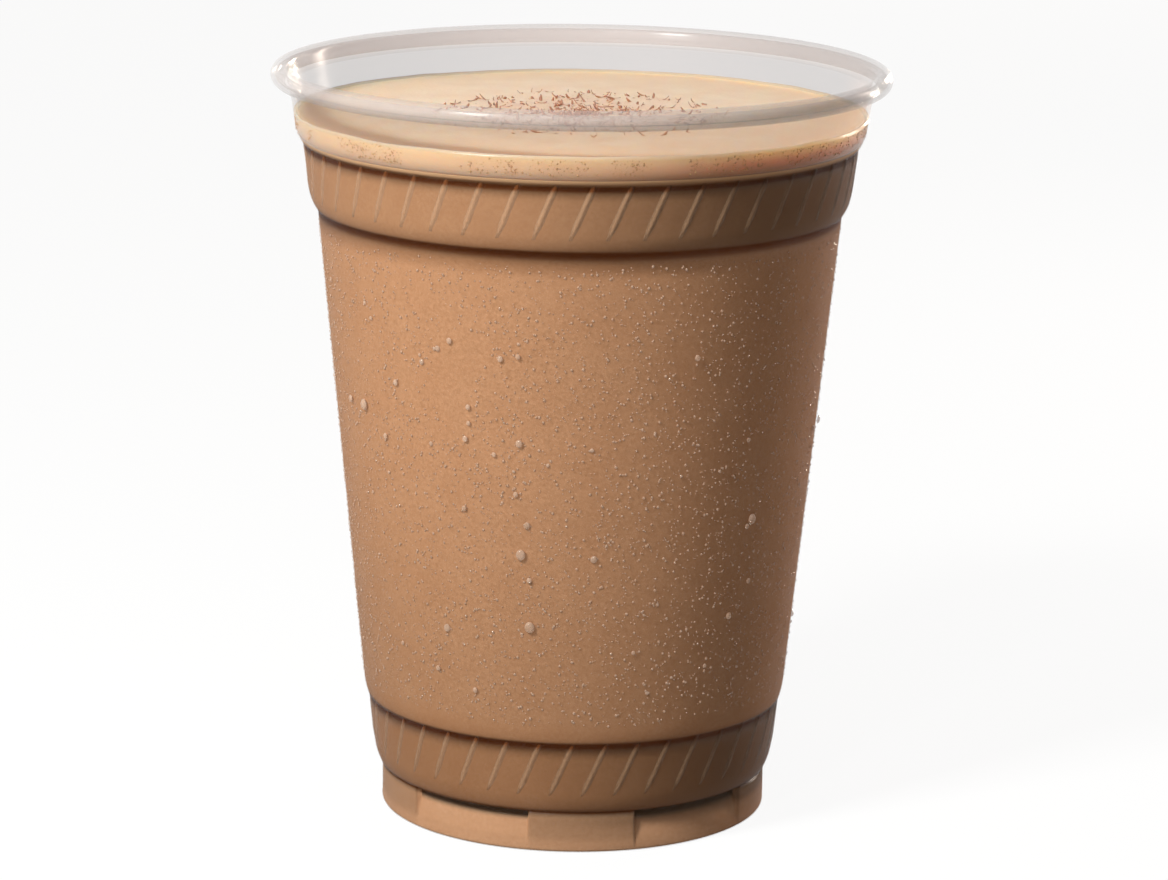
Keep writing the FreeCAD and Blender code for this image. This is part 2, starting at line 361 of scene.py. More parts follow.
# %% Points of an outline
def tangent_arc(start, heading, end, count):
    """Points of the arc that leaves start along heading and ends at end, start left out."""
    start, end = np.array(start, float), np.array(end, float)
    heading = np.array(heading, float) / np.linalg.norm(heading)
    chord = end - start
    normal = chord - heading * chord.dot(heading)
    side = normal / np.linalg.norm(normal)
    radius = chord.dot(chord) / (2 * chord.dot(side))
    centre = start + side * radius
    sweep = 2 * math.atan2(chord.dot(side), chord.dot(heading))
    turns = sweep * np.arange(1, count + 1) / count
    return [centre - side * radius * math.cos(t) + heading * radius * math.sin(t) for t in turns]


def straight(start, end, count):
    """Evenly spaced points of a straight run, start left out."""
    start, end = np.array(start, float), np.array(end, float)
    return [start + (end - start) * i / count for i in range(1, count + 1)]


WALL_STEPS = (3, 18, 3, 3)  # rows of faces on the straight part of each stretch
ROUND_STEPS = 7


def wall_outline(inset):
    """The outline from the crease over the foot up to the flare."""
    shift = np.array((-inset, inset))
    points = []
    for stretch, steps in zip(STRETCHES, WALL_STEPS):
        foot_z, foot_r, top_z, top_r, rounding, below_r = stretch
        foot, top = np.array((foot_r, foot_z)) + shift, np.array((top_r, top_z)) + shift
        crease = np.array((below_r, foot_z)) + shift
        ledge = crease + (LEDGE, 0)
        down = (foot - top) / np.linalg.norm(foot - top)
        start = foot - down * rounding
        edge = tangent_arc(start, down, ledge, ROUND_STEPS)
        points += [crease] + edge[::-1] + [start] + straight(start, top, steps)[:-1]
    return points + [top]


print("outline of the wall:", len(wall_outline(0)), "points")

# %% [markdown]
# ## The stacking foot
#
# Cups are packed one inside another. So that they come apart again, the foot has five
# lugs that stand out to the full radius, and between them panels that lean in under the
# lower band. Seen from the side, each panel has a dark slit of shadow along its top. The
# foot is the only part of the outline that changes with the angle, so its function takes
# a share: 1 on a lug, 0 on a panel.

# %% Foot outline and lugs
LUGS = 5
LUG_ANGLE = 32.0  # degrees that a lug spans
LUG_AZIMUTH = 3.0
LUG_EDGE = 0.5  # degrees over which a lug's side rounds off
COLUMN_ANGLE = 1.5  # degrees from one column of faces to the next
RECESS = 1.3  # how far the top of a panel leans in
FOOT_ROUND = 0.5
FOOT_RING = 1.3
FLOOR_RISE = 0.8
FLOOR_DOME = 0.5
FLOOR_BEVEL = 0.6


def foot_radius(height, lug):
    """Outside radius of the foot at a height, for a share of lug between 0 and 1."""
    lean = RECESS * (height - FOOT_ROUND) / (FOOT_HEIGHT - FOOT_ROUND)
    return FOOT_RADIUS - lean * (1 - lug)


def foot_outside(lug):
    """From the middle of the underside out to the top of the foot."""
    ring_r = FOOT_RADIUS - FOOT_RING
    pocket_r = ring_r - BAND_DRAFT * FLOOR_RISE
    side = (foot_radius(FOOT_ROUND, lug), FOOT_ROUND)
    standing = (side[0] - FOOT_ROUND, 0)
    points = [np.array((0.0, FLOOR_RISE + FLOOR_DOME))]
    points += straight(points[-1], (pocket_r - FLOOR_BEVEL, FLOOR_RISE), 6)
    points += straight(points[-1], (pocket_r, FLOOR_RISE - FLOOR_BEVEL), 2)
    points += straight(points[-1], (ring_r, 0), 2)
    points += straight(points[-1], standing, 2)
    points += tangent_arc(side, (0, -1), standing, 4)[::-1][1:] + [np.array(side)]
    points += straight(side, (foot_radius(FOOT_HEIGHT, lug), FOOT_HEIGHT), 5)
    return points


def foot_inside(lug, inset):
    """From the middle of the floor out to the crease under the lower band."""
    low = FLOOR_RISE + inset
    side_z = low + FLOOR_BEVEL
    side_r = foot_radius(side_z, lug) - inset
    points = [np.array((0.0, low + FLOOR_DOME))]
    points += straight(points[-1], (side_r - FLOOR_BEVEL, low), 6)
    points += straight(points[-1], (side_r, side_z), 2)
    points += straight(points[-1], (foot_radius(FOOT_HEIGHT, lug) - inset, FOOT_HEIGHT + inset), 3)
    return points


def lug_share(azimuth, inset=0.0):
    """1 on a lug, 0 on a panel, and a quick rise between them."""
    pitch = 360 / LUGS
    away = abs((azimuth - LUG_AZIMUTH + pitch / 2) % pitch - pitch / 2)
    half = LUG_ANGLE / 2 - math.degrees(inset / FOOT_RADIUS)
    rise = min(max((half - away) / (2 * LUG_EDGE) + 0.5, 0.0), 1.0)
    return rise * rise * (3 - 2 * rise)


def azimuths():
    """Angles round the cup: even ones, and a few more at the edges of each lug."""
    angles = set(np.arange(0, 360, COLUMN_ANGLE).tolist())
    for lug in range(LUGS):
        for side in (-LUG_ANGLE / 2, LUG_ANGLE / 2):
            edge = LUG_AZIMUTH + lug * 360 / LUGS + side
            angles |= {round((edge + step * LUG_EDGE) % 360, 4) for step in (-1.2, -0.6, 0, 0.6, 1.2)}
    ordered = sorted(angles)
    return [a for a, b in zip(ordered, ordered[1:] + [ordered[0] + 360]) if b - a > 0.05]


# %% Turn outlines into a closed skin
def lathe(name, outlines, angles, height=None):
    """Joins one outline for each azimuth. All have as many points; the first and last
    lie on the axis, where the skin closes."""
    rows = len(outlines[0])
    points = [(0.0, 0.0, outlines[0][0][1])]
    for outline, azimuth in zip(outlines, angles):
        turn = math.radians(azimuth)
        sine, cosine = math.sin(turn), math.cos(turn)
        for radius, z in outline[1:-1]:
            rise = height(radius, azimuth, z) if height else 0.0
            points.append((radius * sine, -radius * cosine, z + rise))
    points.append((0.0, 0.0, outlines[0][-1][1]))
    ring, last, faces = rows - 2, len(points) - 1, []
    for column in range(len(angles)):
        here, there = 1 + column * ring, 1 + (column + 1) % len(angles) * ring
        faces.append((0, there, here))
        faces += [(here + i, there + i, there + i + 1, here + i + 1) for i in range(ring - 1)]
        faces.append((here + ring - 1, there + ring - 1, last))
    return add_mesh(name, points, faces)


# %% [markdown]
# ## The cup
#
# The outline of the sheet is one line, from the middle of the underside, up the outside,
# round the rolled rim and down the inside to the floor. Turned about the axis it closes
# into a wall that is solid plastic and nothing else, which is what a see-through
# material needs.

# %% The rolled rim
def on_bead(radius, angle):
    turn = math.radians(angle)
    return BEAD_CENTRE + radius * np.array((math.cos(turn), math.sin(turn)))


def bead_touch(point, radius):
    """The angle at which a line from point touches the inner side of the bead."""
    away = point - BEAD_CENTRE
    direction = math.degrees(math.atan2(away[1], away[0])) % 360
    return direction - math.degrees(math.acos(radius / np.linalg.norm(away)))


def rim_outline():
    """From the outside of the flare over the roll and back to the inside."""
    hollow = BEAD_RADIUS - WALL
    outer, inner = np.array((MOUTH_RADIUS, FLARE)), np.array((MOUTH_RADIUS - WALL, FLARE))
    outer_touch, inner_touch = bead_touch(outer, hollow), bead_touch(inner, BEAD_RADIUS)
    points = straight(outer, on_bead(hollow, outer_touch), 4)
    points += [on_bead(hollow, a) for a in np.linspace(outer_touch, LIP_ANGLE, 16)[1:]]
    points += [on_bead(BEAD_RADIUS, a) for a in np.linspace(LIP_ANGLE, inner_touch, 24)]
    return points + straight(points[-1], inner, 4)


def cup_outline(azimuth):
    """The whole sheet at one azimuth, from underside to floor."""
    inside = foot_inside(lug_share(azimuth, WALL), WALL) + wall_outline(WALL)[1:-1]
    return foot_outside(lug_share(azimuth)) + wall_outline(0) + rim_outline() + inside[::-1]


angles = azimuths()
cup = lathe("cup_wall", [cup_outline(a) for a in angles], angles)

# %% [markdown]
# ## The drink
#
# The smoothie and the froth are lathed from the same outline as the wall, drawn in by
# less than its thickness, so they reach into the plastic and no line of air shows. Clear
# plastic bends the view, and a real drink seems to fill the wall out to its skin. The
# surface of the froth is not flat: it climbs the wall, and it has slow swells and small
# pits where bubbles have burst.

# %% Smoothie
REACH = 0.6  # how far the drink reaches into the wall
SKIN = WALL - REACH  # plastic that is left outside the drink
FROTH_FOOT = froth_low.z / MM
FROTH_DEPTH = 3.15
FROTH_LEVEL = FROTH_FOOT + FROTH_DEPTH
MENISCUS = froth_high.z / MM - FROTH_LEVEL


def fill_outline(azimuth):
    """The drink from the middle of the floor up to the flare, under a thin skin."""
    foot = [p + (-SKIN, SKIN) for p in foot_outside(lug_share(azimuth, SKIN))[1:]]
    return [foot[0] * (0, 1)] + foot + wall_outline(SKIN)[1:]


def cut_above(outline, height):
    """The lower part of an outline, ended exactly at a height."""
    below = [p for p in outline if p[1] < height]
    after = outline[len(below)]
    share = (height - below[-1][1]) / (after[1] - below[-1][1])
    return below + [below[-1] + (after - below[-1]) * share]


def smoothie_outline(azimuth):
    side = cut_above(fill_outline(azimuth), FROTH_FOOT)
    return side + straight(side[-1], (0.0, FROTH_FOOT), 4)


smoothie = lathe("smoothie_body", [smoothie_outline(a) for a in angles], angles)

# %% Froth
FROTH_ROWS = 60
ROW_CROWDING = 1.15  # above 1, the rows crowd towards the wall
MENISCUS_WIDTH = 0.8
# size across, and height or depth, in millimetres
LONG_SWELL, SHORT_SWELL, PIT = (11.0, 0.16), (4.0, 0.07), (0.9, 0.07)
PIT_SHARE = 0.25  # noise above this makes a pit


def froth_outline():
    """From the middle of its underside to the wall, up, and back over the surface."""
    side = cut_above(fill_outline(0.0), FROTH_LEVEL + MENISCUS)
    side = [p for p in side if p[1] > FROTH_FOOT]
    foot = cut_above(fill_outline(0.0), FROTH_FOOT)[-1]
    edge_r = side[-1][0]
    surface = []
    for row in range(1, FROTH_ROWS + 1):
        radius = edge_r * (1 - (row / FROTH_ROWS) ** ROW_CROWDING)
        climb = MENISCUS * math.exp(-(edge_r - radius) / MENISCUS_WIDTH)
        surface.append(np.array((radius, FROTH_LEVEL + climb)))
    return [np.array((0.0, FROTH_FOOT))] + straight((0.0, FROTH_FOOT), foot, 3) + side + surface


def froth_relief(radius, azimuth, z):
    """Slow swells and small pits on the surface, none on the sides."""
    if z < FROTH_LEVEL - 0.01:
        return 0.0
    turn = math.radians(azimuth)
    place = Vector((radius * math.sin(turn), radius * math.cos(turn), 0.0))
    swell = sum(rise * noise.noise(place / size) for size, rise in (LONG_SWELL, SHORT_SWELL))
    pits = noise.noise(place / PIT[0] + Vector((0, 0, 7)))
    return swell - PIT[1] * max(pits - PIT_SHARE, 0.0)


froth = lathe("froth_head", [froth_outline()] * len(angles), angles, froth_relief)

# %% [markdown]
# ## Finishes
#
# All patterns read Object coordinates, which are metres from the middle of the foot, so
# a height in millimetres can be used directly. The plastic is one sheet of milky
# polypropylene, about a fifth opaque, and its rolled rim a little more. Where the drink
# lies behind it, it takes the drink's colour; above the drink it is plain and milky.


# %% Shader helpers
def new_material(name):
    """A material, its node tree and its Principled shader."""
    material = bpy.data.materials.new(name)
    material.use_nodes = True
    return material, material.node_tree, material.node_tree.nodes["Principled BSDF"]


def set_plain(shader, **values):
    """Sets plain values on a shader's own sockets. Underscores stand for spaces."""
    for key, value in values.items():
        shader.inputs[key.replace("_", " ")].default_value = value


def object_place(tree):
    return add_node(tree, "ShaderNodeTexCoord").outputs["Object"]


def along(tree, axis):
    """How far a place lies along an axis, in metres."""
    return add_node(tree, "ShaderNodeSeparateXYZ", {0: object_place(tree)}).outputs[axis]


def from_axis(tree):
    """How far a place lies from the axis of the cup, in metres."""
    inputs = {0: object_place(tree), 1: (1.0, 1.0, 0.0)}
    flat = add_node(tree, "ShaderNodeVectorMath", inputs, operation="MULTIPLY")
    return add_node(tree, "ShaderNodeVectorMath", {0: flat}, operation="LENGTH").outputs["Value"]


def noise_of(tree, size, detail=2.0):
    """Noise whose lumps are about size millimetres across."""
    inputs = {"Vector": object_place(tree), "Scale": 1 / (size * MM), "Detail": detail}
    return add_node(tree, "ShaderNodeTexNoise", inputs).outputs["Fac"]


def spread(tree, value, low, high, from_low=0.3, from_high=0.7):
    """Maps a value from one range to another, clamped."""
    inputs = {"Value": value, "From Min": from_low, "From Max": from_high, "To Min": low, "To Max": high}
    return add_node(tree, "ShaderNodeMapRange", inputs)


def by_height(tree, stops):
    """A value or colour that follows the height. Stops are (millimetres, value or colour)."""
    share = math_node(tree, "DIVIDE", along(tree, "Z"), CUP_HEIGHT * MM)
    ramp = add_node(tree, "ShaderNodeValToRGB", {"Fac": share})
    handles = ramp.color_ramp.elements
    handles[0].position, handles[1].position = stops[0][0] / CUP_HEIGHT, stops[-1][0] / CUP_HEIGHT
    for level, _ in stops[1:-1]:
        handles.new(level / CUP_HEIGHT)
    for handle, (_, value) in zip(handles, stops):
        handle.color = value if isinstance(value, tuple) else (value, value, value, 1.0)
    return ramp.outputs["Color"]


def mix_colours(tree, share, first, second, blend="MIX"):
    """The first colour where share is 0, the second where it is 1."""
    inputs = {"Factor": share, 6: first, 7: second}
    return add_node(tree, "ShaderNodeMix", inputs, data_type="RGBA", blend_type=blend).outputs[2]


def tinted(tree, colour, by):
    """A colour multiplied by another colour or by a value."""
    return mix_colours(tree, 1.0, colour, by, "MULTIPLY")


def relief(tree, shader, height, depth, strength=1.0):
    """Bump on a shader. Depth is in millimetres."""
    bump = add_node(tree, "ShaderNodeBump", {"Height": height, "Distance": depth * MM, "Strength": strength})
    join(tree, bump, shader.inputs["Normal"])


# %% [markdown]
# ## Shade in the tucks
#
# Under every band the sheet tucks in, light gets lost there, and painted shade makes the drink look deep
# brown along a soft line. The bands are painted darker than the misted wall between them, partly because
# they are clearer and partly as painted shade. The wall between them is painted darker towards the bottom.
# All of this depends on height alone, so one ramp by height holds it. Two more painted marks depend on the
# side. The bands and the top of the foot get painted shade where they turn away from the key lamp. There the
# foot of the head gets a painted amber shade and glow, for light that has gone through the froth. A share by
# the X coordinate keeps both off the lit side.

# %% Shade by height
DEEP = (0.36, 0.19, 0.09, 1.0)  # what is left of the light in a crease


def tuck(crease, below, above, depth=1.0):
    """Stops round one crease, between the shade below it and the shade above it. With a
    smaller depth the shade reaches less far down."""
    return [
        (crease - 1.7 * depth, below), (crease - 1.1 * depth, below * 0.78), (crease - 0.7 * depth, DEEP),
        (crease + 0.05, DEEP), (crease + 0.35, above * 0.82), (crease + 0.9, above),
    ]


# painted shade by height: the bands are darker than the wall, partly as painted shade
FOOT_SHADE, LOWER_SHADE, WALL_SHADE, UPPER_SHADE = 1.0, 0.72, 1.0, 0.86
LOW_WALL_SHADE = 0.84  # painted shade: the wall is darker towards the bottom
SHADES = [(0.0, FOOT_SHADE)]
SHADES += tuck(FOOT_HEIGHT, FOOT_SHADE, LOWER_SHADE, 0.5)
SHADES += tuck(LOWER_BAND_TOP, LOWER_SHADE, LOW_WALL_SHADE)
# painted shade that darkens the wall towards the bottom
SHADES += [(30.0, 0.88), (47.0, 0.955), (64.0, WALL_SHADE)]
SHADES += tuck(UPPER_BAND_FOOT, WALL_SHADE, UPPER_SHADE)
SHADES += tuck(SHOULDER, UPPER_SHADE, 1.0)
print("shades by height:", len(SHADES), "stops")

# %% Shade by side and depth
BAND_LOSS = 0.42  # share of its light that a band loses to painted shade on the far side
LUG_LOSS = 0.22  # share of its light that a lug loses to painted shade
# stops by height: the painted shade that the bands and the top of the foot get on the far side, the painted
# amber shade and glow at the foot of the head, and where lugs get painted shade
FAR_SIDE_SHADE = (
    (FOOT_HEIGHT - 3.2, 0.0), (FOOT_HEIGHT - 1.8, 0.5), (FOOT_HEIGHT, BAND_LOSS),
    (LOWER_BAND_TOP - 0.4, BAND_LOSS), (LOWER_BAND_TOP + 0.4, 0.0), (UPPER_BAND_FOOT - 0.2, 0.0),
    (UPPER_BAND_FOOT + 0.6, BAND_LOSS), (SHOULDER - 0.2, BAND_LOSS), (SHOULDER + 0.1, 0.0),
)
AMBER_SHADE = (
    (SHOULDER - 0.2, WHITE), (SHOULDER, (0.42, 0.22, 0.08, 1.0)),
    (SHOULDER + 1.3, (0.72, 0.50, 0.28, 1.0)), (SHOULDER + 3.4, WHITE),
)
LUG_ZONE = ((1.2, 0.0), (2.6, 1.0), (FOOT_HEIGHT - 0.2, 1.0), (FOOT_HEIGHT + 0.1, 0.0))


def away_from_key(tree):
    """0 on the side that the key lamp lights, 1 on the far side."""
    return spread(tree, along(tree, "X"), 0.0, 1.0, -8 * MM, 24 * MM)


def amber_shade_and_glow(tree, colour):
    """On the far side, a painted amber shade and glow at the foot of the head, for light that went through
    the froth.
    """
    glowing = tinted(tree, colour, by_height(tree, AMBER_SHADE))
    return mix_colours(tree, away_from_key(tree), colour, glowing)


def what_is_left(tree, lost):
    """The share of the light that is left when some is lost."""
    return math_node(tree, "MULTIPLY_ADD", lost, -1.0, 1.0)


def shade(tree, colour):
    """Paints shade into a colour: in the tucks, high in the recesses of the foot, on its lugs, and on the
    bands and the top of the foot where they turn away from the key lamp. It also adds the painted amber
    shade and glow at the foot of the head."""
    depth = math_node(tree, "SUBTRACT", (FOOT_RADIUS - SKIN) * MM, from_axis(tree))
    recess = spread(tree, depth, 1.0, 0.25, 0.66 * RECESS * MM, 0.78 * RECESS * MM)
    on_lug = spread(tree, depth, LUG_LOSS, 0.0, 0.12 * RECESS * MM, 0.3 * RECESS * MM)
    lug = what_is_left(tree, times(tree, on_lug, by_height(tree, LUG_ZONE)))
    far_side = what_is_left(tree, times(tree, by_height(tree, FAR_SIDE_SHADE), away_from_key(tree)))
    dimmed = times(tree, times(tree, recess, lug), far_side)
    return amber_shade_and_glow(tree, tinted(tree, tinted(tree, colour, by_height(tree, SHADES)), dimmed))


# %% [markdown]
# ## Smoothie
#
# The drink is thick and matt, a milky brown with a fine grain of cocoa. It is never seen
# bare: the plastic in front of it gives the gloss, so it has none of its own.

# %% Smoothie finish
smoothie_paint, tree, shader = new_material("chocolate_smoothie")
cocoa = (0.500, 0.236, 0.110, 1.0)
cocoa_pale = (0.530, 0.262, 0.128, 1.0)
cocoa_grain = (0.40, 0.18, 0.08, 1.0)
frothing_drink = (0.74, 0.45, 0.235, 1.0)
body_colour = mix_colours(tree, spread(tree, noise_of(tree, 6.0), 0.0, 1.0), cocoa, cocoa_pale)
grained = mix_colours(tree, spread(tree, noise_of(tree, 0.5), 0.0, 0.5), body_colour, cocoa_grain)
frothing = by_height(tree, [(SHOULDER + 0.05, 0.0), (SHOULDER + 0.55, 1.0)])
# the drink's colour carries the painted shade of tucks, foot and far side, and the painted amber shade and
# glow under the head
blended = mix_colours(tree, frothing, shade(tree, grained), frothing_drink)
join(tree, blended, shader.inputs["Base Color"])
set_plain(shader, Roughness=0.6, Specular_IOR_Level=0.0)

# %% [markdown]
# ## Froth
#
# Froth is pale because it is full of air, and light wanders a few millimetres inside it before it comes out
# again. Subsurface scattering does that. The colour goes from cream on top to golden at the wall and caramel
# where it meets the drink, and cocoa from the flakes has stained the middle. On the far side the foot of the
# head also gets a painted amber shade and glow. At the wall the froth is wet, so it shines there.

# %% Froth finish
froth_paint, tree, shader = new_material("pale_froth")
FROTH_EDGE = MOUTH_RADIUS - HEAD_DRAFT * (FLARE - FROTH_LEVEL) - SKIN
cream = (0.84, 0.570, 0.405, 1.0)
tan = (0.77, 0.470, 0.315, 1.0)
peach = (0.78, 0.495, 0.320, 1.0)
golden = (0.745, 0.465, 0.300, 1.0)
dusty = (0.72, 0.430, 0.300, 1.0)
caramel = (0.46, 0.215, 0.075, 1.0)
top_colour = mix_colours(tree, spread(tree, noise_of(tree, 5.0, 4.0), 0.0, 0.8), cream, tan)
near_middle = spread(tree, from_axis(tree), 1.0, 0.0, 13 * MM, 21 * MM)
near_wall = spread(tree, from_axis(tree), 0.0, 0.7, (FROTH_EDGE - 14) * MM, (FROTH_EDGE - 2) * MM)
top_colour = mix_colours(tree, near_wall, top_colour, peach)
dust = times(tree, near_middle, spread(tree, noise_of(tree, 1.8, 4.0), 0.15, 1.0))
top_colour = mix_colours(tree, dust, top_colour, dusty)
side = by_height(tree, [(FROTH_LEVEL - 0.6, 1.0), (FROTH_LEVEL - 0.3, 0.0)])
foot = by_height(tree, [(FROTH_FOOT - 0.8, 0.5), (FROTH_FOOT + 0.3, 0.25), (FROTH_FOOT + 1.5, 0.0)])
# painted amber shade and glow at the froth's foot on the far side
side_colour = amber_shade_and_glow(tree, mix_colours(tree, foot, golden, caramel))
outermost = spread(tree, from_axis(tree), 0.0, 1.0, (FROTH_EDGE - 0.25) * MM, (FROTH_EDGE - 0.1) * MM)
at_wall = math_node(tree, "MAXIMUM", side, outermost)
join(tree, mix_colours(tree, at_wall, top_colour, side_colour), shader.inputs["Base Color"])
wet = spread(tree, from_axis(tree), 0.55, 0.22, (FROTH_EDGE - 1.2) * MM, (FROTH_EDGE - 0.5) * MM)
join(tree, wet, shader.inputs["Roughness"])
set_plain(shader, Specular_IOR_Level=0.35, Subsurface_Weight=1.0, Subsurface_Scale=9 * MM)
set_plain(shader, Subsurface_Radius=(1.0, 0.62, 0.34))
relief(tree, shader, noise_of(tree, 0.8, 3.0), 0.12, 0.6)

# %% [markdown]
# ## Plastic
#
# Milky polypropylene is one thin sheet with a constant, low opacity. Its tint follows what stands behind it,
# height by height: drink, froth, or nothing above the froth. The rolled rim and the ribs are a little more
# opaque, so they have paints of their own from the same recipe. The ribs' lighter tint stands partly for
# their thicker plastic and partly for a painted highlight. On the front above the froth the sheet carries
# painted light from the froth: dim brown on the left and amber on the right. Above the froth the key lamp
# shines on the inside of the sheet at the right, and painted shade makes its colour deeper there. The wall
# between the bands is dulled by mist: its colour is mottled by the finest droplets, its gloss is weaker and
# its surface has a fine grain.

# %% What lies behind the plastic
BEAD_LOW = CUP_HEIGHT - 2 * BEAD_RADIUS
BLACK = (0.0, 0.0, 0.0, 1.0)
INSIDE_SHADE = 0.27  # painted shade: share of its colour that the sheet loses where the key lamp lights its inside
# the rib tint is lighter, partly for thicker plastic and partly as a painted highlight
drink_tint, rib_tint_and_highlight = (0.50, 0.262, 0.140, 1.0), (0.74, 0.455, 0.280, 1.0)
band_tint, mist_tint = (0.56, 0.350, 0.215, 1.0), (0.60, 0.380, 0.240, 1.0)
foot_tint = (0.70, 0.50, 0.34, 1.0)
head_tint, froth_tint = (0.68, 0.440, 0.300, 1.0), (0.76, 0.48, 0.32, 1.0)
bare_tint, bead_tint = (0.26, 0.215, 0.208, 1.0), (0.57, 0.495, 0.47, 1.0)
# painted light of the froth on the front of the sheet, dim brown on the left and amber on the right
left_froth_light, right_froth_light = (0.28, 0.125, 0.050, 1.0), (0.98, 0.50, 0.22, 1.0)


def tint_behind(tree, stain, band_stain, mist_stain):
    """The tint of what lies behind the sheet, height by height."""
    return by_height(tree, [
        (FOOT_HEIGHT - 0.2, foot_tint), (FOOT_HEIGHT + 0.3, stain), (LOWER_BAND_TOP, stain),
        (LOWER_BAND_TOP + 4, mist_stain), (UPPER_BAND_FOOT - 4, mist_stain), (UPPER_BAND_FOOT, stain),
        (UPPER_BAND_FOOT + 1.5, band_stain), (SHOULDER, band_stain), (SHOULDER + 0.5, head_tint),
        (FROTH_LEVEL, froth_tint), (FROTH_LEVEL + 0.6, bare_tint), (BEAD_LOW - 0.3, bare_tint),
        (BEAD_LOW + 0.2, bead_tint),
    ])


def shade_lit_inside(tree, colour):
    """Painted shade above the froth: a deeper colour on the right, where the key lamp lights the inside."""
    above_froth = by_height(tree, [(FROTH_LEVEL, 0.0), (FROTH_LEVEL + 0.3, 1.0)])
    lit_inside = times(tree, above_froth, spread(tree, along(tree, "X"), 0.0, INSIDE_SHADE, 8 * MM, 34 * MM))
    return mix_colours(tree, lit_inside, colour, BLACK)


def add_froth_light(tree, colour):
    """Painted light that the froth throws on the front of the sheet above it: dim brown on the left and
    amber on the right.
    """
    stops = [(FROTH_LEVEL, 0.0), (FROTH_LEVEL + 0.3, 1.0), (BEAD_LOW - 0.5, 1.0), (BEAD_LOW, 0.0)]
    in_front = spread(tree, along(tree, "Y"), 1.0, 0.0, -14 * MM, 16 * MM)
    to_right = spread(tree, along(tree, "X"), 0.0, 1.0, -26 * MM, 26 * MM)
    froth_light_colour = mix_colours(tree, to_right, left_froth_light, right_froth_light)
    return mix_colours(tree, times(tree, by_height(tree, stops), in_front), colour, froth_light_colour)


# %% Plastic
def milky_plastic(name, stain, band_stain, mist_stain, opacity, shine):
    """Milky sheet that takes the tint of what lies behind it, height by height. Its colour also carries
    painted froth light and painted shade: on the lit inside, in the tucks, on the foot and on the far side.
    """
    material, tree, shader = new_material(name)
    misted = by_height(tree, [
        (LOWER_BAND_TOP, 0.4), (LOWER_BAND_TOP + 6, 1.0), (UPPER_BAND_FOOT - 9, 1.0),
        (UPPER_BAND_FOOT, 0.35), (SHOULDER - 1, 0.3), (SHOULDER, 0.0),
    ])
    fine = spread(tree, noise_of(tree, 0.42), 0.62, 1.38, 0.32, 0.68)
    mottle = math_node(tree, "MULTIPLY_ADD", misted, math_node(tree, "SUBTRACT", fine, 1.0), 1.0)
    plain = shade_lit_inside(tree, tint_behind(tree, stain, band_stain, mist_stain))
    tint = tinted(tree, add_froth_light(tree, plain), mottle)
    join(tree, shade(tree, tint), shader.inputs["Base Color"])
    gloss = spread(tree, noise_of(tree, 9.0), 0.13, 0.21)
    join(tree, math_node(tree, "MULTIPLY_ADD", misted, 0.08, gloss), shader.inputs["Roughness"])
    set_plain(shader, Alpha=opacity, IOR=1.49, Specular_IOR_Level=shine)
    relief(tree, shader, noise_of(tree, 0.45), 0.09, misted)
    return material


sheet_tints, rib_tints = (drink_tint, band_tint, mist_tint), (rib_tint_and_highlight, rib_tint_and_highlight, rib_tint_and_highlight)
plastic_paint = milky_plastic("milky_polypropylene", *sheet_tints, opacity=0.21, shine=0.3)
rim_paint = milky_plastic("milky_rim", *sheet_tints, opacity=0.28, shine=0.3)
rib_paint = milky_plastic("milky_rib", *rib_tints, opacity=0.38, shine=0.12)

# %% [markdown]
# ## Chocolate, cocoa and water
#
# The flakes are milk chocolate, in patches of darker and lighter brown. Cocoa specks are matt.
# Drops of water on a pale cup look like pale beads with a crisp glint, so the water has a
# faint tint of the wall, is half clear and very smooth.

# %% Flakes, cocoa and water
flake_paint, tree, shader = new_material("milk_chocolate")
dark_flake, light_flake = (0.24, 0.085, 0.045, 1.0), (0.52, 0.24, 0.140, 1.0)
flake_colour = mix_colours(tree, spread(tree, noise_of(tree, 1.6), 0.0, 1.0), dark_flake, light_flake)
join(tree, flake_colour, shader.inputs["Base Color"])
set_plain(shader, Roughness=0.5)
relief(tree, shader, noise_of(tree, 0.25), 0.03, 0.7)

speck_paint, tree, shader = new_material("cocoa_speck")
dark_speck, light_speck = (0.34, 0.17, 0.06, 1.0), (0.60, 0.36, 0.17, 1.0)
speck_colour = mix_colours(tree, spread(tree, noise_of(tree, 3.0), 0.0, 1.0), dark_speck, light_speck)
join(tree, speck_colour, shader.inputs["Base Color"])
set_plain(shader, Roughness=0.7)

water_paint, tree, shader = new_material("cold_water")
deep_water, pale_water = (0.64, 0.42, 0.29, 1.0), (0.76, 0.55, 0.42, 1.0)
water_tint = mix_colours(tree, spread(tree, noise_of(tree, 2.0), 0.0, 1.0), deep_water, pale_water)
join(tree, water_tint, shader.inputs["Base Color"])
set_plain(shader, Roughness=0.1, Alpha=0.42, IOR=1.33)

# %% [markdown]
# ## The ribs
#
# Both bands carry slanted ribs that give a wet hand some grip. On the real cup they are
# pressed into the sheet, so the drink stands in them from behind. Here one rib is built
# upright on the front of the cup, and a Geometry Nodes tree sets it round the band: the
# number of each point gives its angle, and each copy is turned by it and leans with the
# wall. The same tree runs twice for each band, once for plastic and once for drink.

# %% One rib
RIB_SLANT = 22.0
RIB_WIDTH = 1.4
RIB_HEIGHT = 0.27
RIB_ROOT = 0.45
RIB_END = 2.4  # length over which an end fades into the wall


